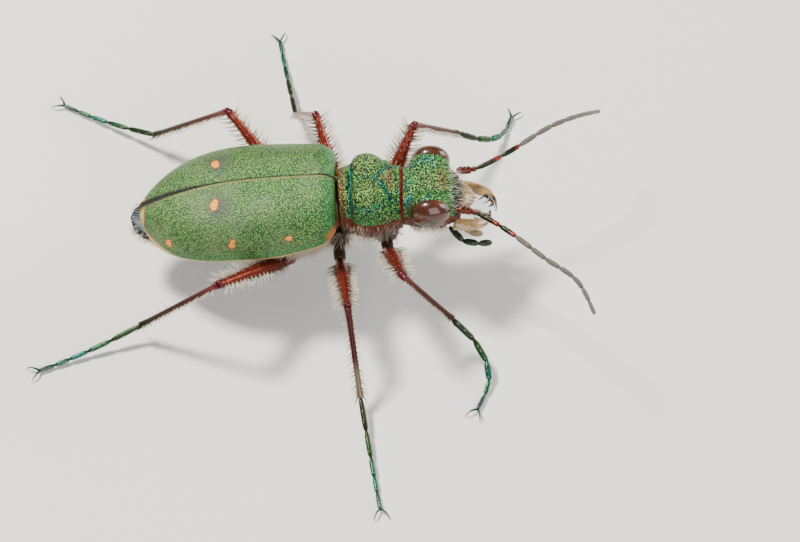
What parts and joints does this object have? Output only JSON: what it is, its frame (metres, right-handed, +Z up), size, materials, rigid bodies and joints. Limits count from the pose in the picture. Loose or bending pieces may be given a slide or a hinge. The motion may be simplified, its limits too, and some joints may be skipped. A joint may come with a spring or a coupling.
{
  "type": "green tiger beetle",
  "caption": "Green tiger beetle at life size, standing on slender copper legs with its feelers held out and its jaws crossed.",
  "frame": {"origin": "on the floor plane, under the middle of the outline seen from above", "axes": "+X towards the head, +Y towards the beetle's left side, +Z up from the floor that the feet stand on"},
  "size_m": [0.0244, 0.025, 0.0065],
  "materials": {
    "elytra_green": "matt leaf green shell, finely pitted, with cream spots",
    "pronotum_green": "metallic green shell with copper sides and blue grooves",
    "head_green": "metallic green shell with copper sides",
    "scutellum_bronze": "metallic bronze green shell",
    "abdomen_blue": "metallic blue-green shell",
    "thorax_bronze": "metallic copper and green shell under pale hair",
    "coxa_bronze": "metallic copper shell under pale hair",
    "leg_copper": "metallic copper red shell with white bristles",
    "foot_green": "metallic green shell turning blue at the tip",
    "antenna_metallic": "metallic copper and green shell",
    "antenna_grey": "dull grey-brown shell with dense fine down",
    "eye_brown": "glossy brown faceted lens",
    "labrum_cream": "smooth cream shell",
    "mandible_ivory": "smooth ivory shell with black teeth",
    "palp_pale": "smooth pale shell",
    "palp_dark": "metallic dark green shell"
  },
  "bodies": {
    "root": {"abdomen": "abdomen_blue", "antenna_lower_left": "antenna_metallic", "antenna_lower_right": "antenna_metallic", "antenna_middle_left": "antenna_grey", "antenna_middle_right": "antenna_grey", "antenna_scape_left": "antenna_metallic", "antenna_scape_right": "antenna_metallic", "antenna_tip_left": "antenna_grey", "antenna_tip_right": "antenna_grey", "coxa_front_left": "coxa_bronze", "coxa_front_right": "coxa_bronze", "coxa_hind_left": "coxa_bronze", "coxa_hind_right": "coxa_bronze", "coxa_middle_left": "coxa_bronze", "coxa_middle_right": "coxa_bronze", "elytron_left": "elytra_green", "elytron_right": "elytra_green", "eye_left": "eye_brown", "eye_right": "eye_brown", "femur_front_left": "leg_copper", "femur_front_right": "leg_copper", "femur_hind_left": "leg_copper", "femur_hind_right": "leg_copper", "femur_middle_left": "leg_copper", "femur_middle_right": "leg_copper", "head": "head_green", "labial_palp_left": "palp_pale", "labial_palp_right": "palp_pale", "labrum": "labrum_cream", "mandible_left": "mandible_ivory", "mandible_right": "mandible_ivory", "maxillary_palp_left": "palp_dark", "maxillary_palp_right": "palp_dark", "pronotum": "pronotum_green", "scutellum": "scutellum_bronze", "tarsus_front_left": "foot_green", "tarsus_front_right": "foot_green", "tarsus_hind_left": "foot_green", "tarsus_hind_right": "foot_green", "tarsus_middle_left": "foot_green", "tarsus_middle_right": "foot_green", "thorax": "thorax_bronze", "tibia_front_left": "leg_copper", "tibia_front_right": "leg_copper", "tibia_hind_left": "leg_copper", "tibia_hind_right": "leg_copper", "tibia_middle_left": "leg_copper", "tibia_middle_right": "leg_copper"}
  },
  "joints": []
}
